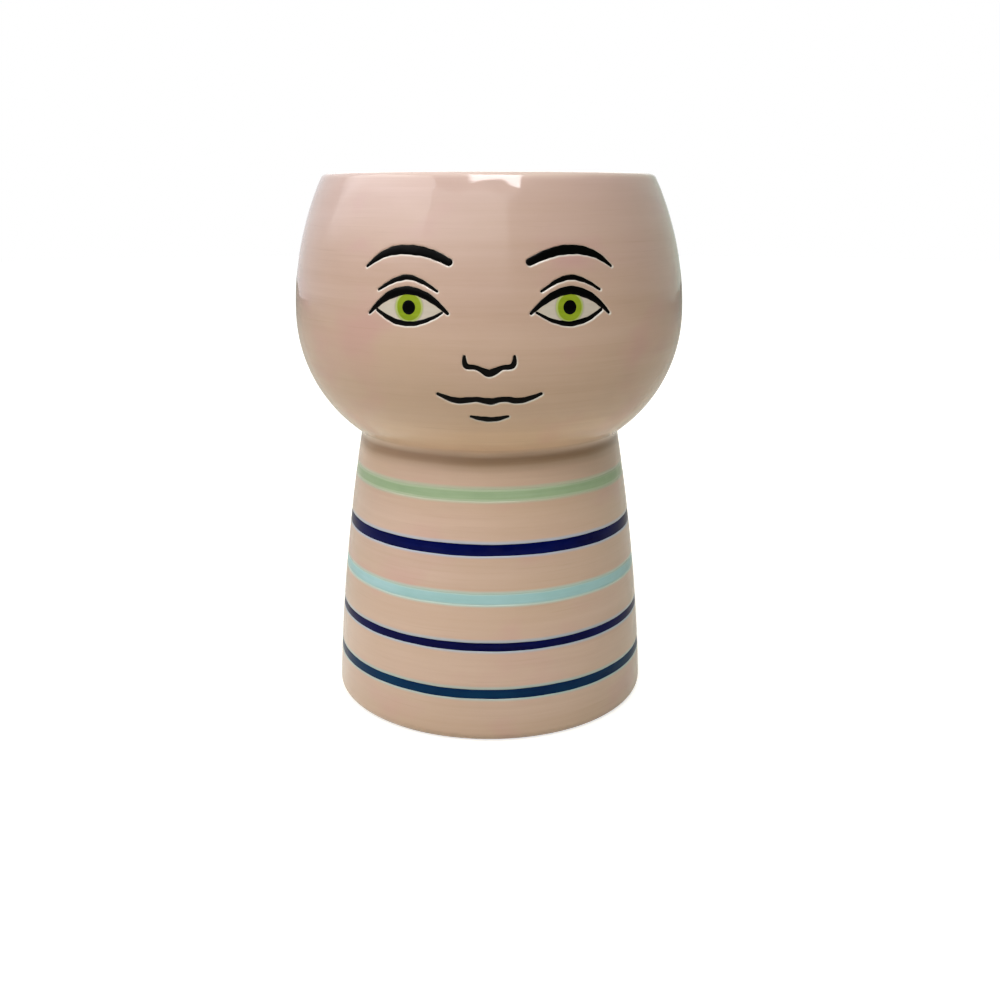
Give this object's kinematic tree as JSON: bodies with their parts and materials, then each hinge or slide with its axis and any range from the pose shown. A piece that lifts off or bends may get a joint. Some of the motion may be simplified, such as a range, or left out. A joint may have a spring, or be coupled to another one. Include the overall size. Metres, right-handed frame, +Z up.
{
  "type": "face vase",
  "caption": "Ceramic flower vase: a round open head with a drawn face on a tall banded neck, standing on a flat foot ring.",
  "frame": {"origin": "centre of the foot ring's flat underside, on the vase's axis", "axes": "+Z up along the vase's axis, -Y out of the face, +X towards the face's own left side"},
  "size_m": [0.14, 0.14, 0.1923],
  "materials": {
    "body_glaze": "glossy transparent glaze over brushed pink-beige slip",
    "sage_glaze": "glossy glaze",
    "navy_glaze": "glossy glaze",
    "aqua_glaze": "glossy glaze",
    "teal_glaze": "glossy glaze",
    "black_glaze": "glossy glaze",
    "pale_glaze": "glossy glaze",
    "lime_glaze": "glossy glaze"
  },
  "bodies": {
    "root": {"head_bowl": "body_glaze", "neck_body": "body_glaze", "sage_band": "sage_glaze", "navy_band": "navy_glaze", "aqua_band": "aqua_glaze", "thin_navy_band": "navy_glaze", "teal_band": "teal_glaze", "left_brow": "black_glaze", "left_lid_crease": "black_glaze", "left_upper_lid": "black_glaze", "left_lower_lid": "black_glaze", "left_inner_white": "pale_glaze", "left_outer_white": "pale_glaze", "left_iris": "lime_glaze", "left_pupil": "black_glaze", "right_brow": "black_glaze", "right_lid_crease": "black_glaze", "right_upper_lid": "black_glaze", "right_lower_lid": "black_glaze", "right_inner_white": "pale_glaze", "right_outer_white": "pale_glaze", "right_iris": "lime_glaze", "right_pupil": "black_glaze", "nose_line": "black_glaze", "mouth_line": "black_glaze", "lower_lip_line": "black_glaze"}
  },
  "joints": []
}
